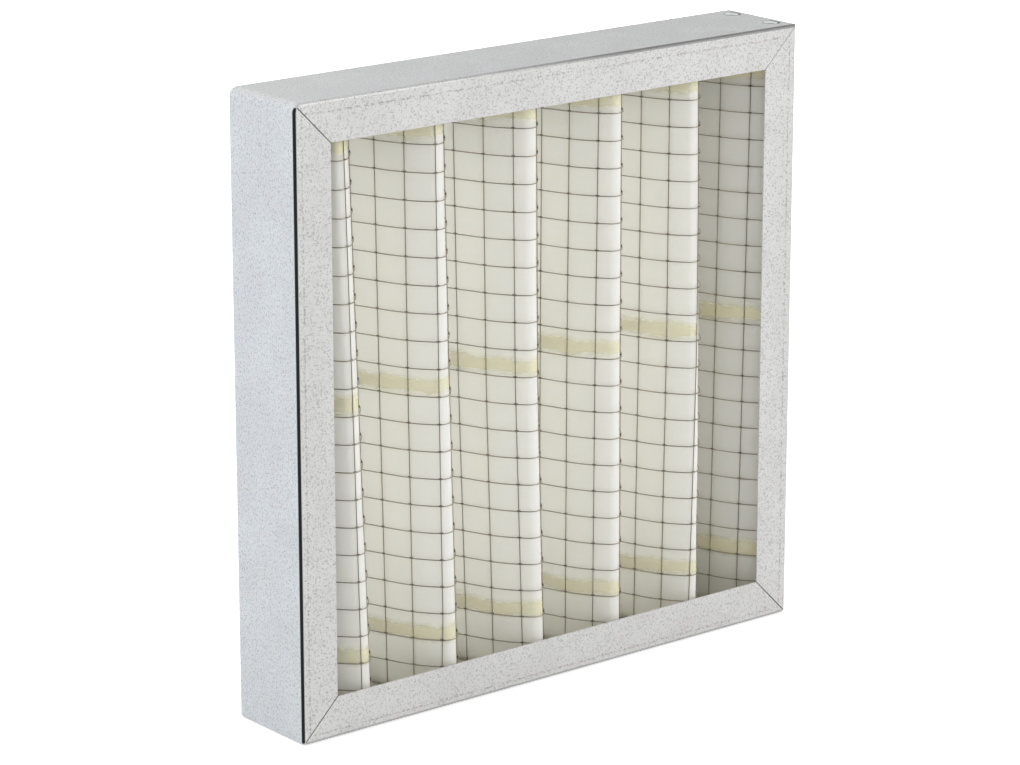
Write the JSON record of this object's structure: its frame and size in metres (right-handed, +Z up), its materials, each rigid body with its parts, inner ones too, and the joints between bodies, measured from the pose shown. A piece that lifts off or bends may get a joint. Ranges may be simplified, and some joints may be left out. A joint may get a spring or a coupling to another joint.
{
  "type": "pleated panel air filter",
  "caption": "Square pleated panel air filter: a pleated nonwoven pack with a welded wire mesh on its front, in a riveted galvanised channel frame.",
  "frame": {"origin": "under the middle of the filter, on the surface that it stands on", "axes": "+Z up along the pleats, +X along the width, towards the riveted corner's side, and +Y from the mesh-covered front face to the back, along the depth"},
  "size_m": [0.287, 0.048, 0.2879],
  "materials": {
    "galvanised_steel": "fine zinc speckle, satin",
    "nonwoven": "soft off-white nonwoven",
    "galvanised_wire": "dull zinc",
    "glue": "pale yellow hot-melt",
    "seal": "off-white adhesive bead",
    "rivet_aluminium": "bright",
    "mandrel_steel": "satin"
  },
  "bodies": {
    "root": {"frame_channel": "galvanised_steel", "corner_rivets": "rivet_aluminium", "rivet_mandrels": "mandrel_steel", "pleated_media": "nonwoven", "mesh_cross_wires": "galvanised_wire", "mesh_line_wires": "galvanised_wire", "glue_line_top": "glue", "glue_line_middle": "glue", "glue_line_bottom": "glue", "seal_bottom": "seal", "seal_top": "seal", "seal_left": "seal", "seal_right": "seal"}
  },
  "joints": []
}
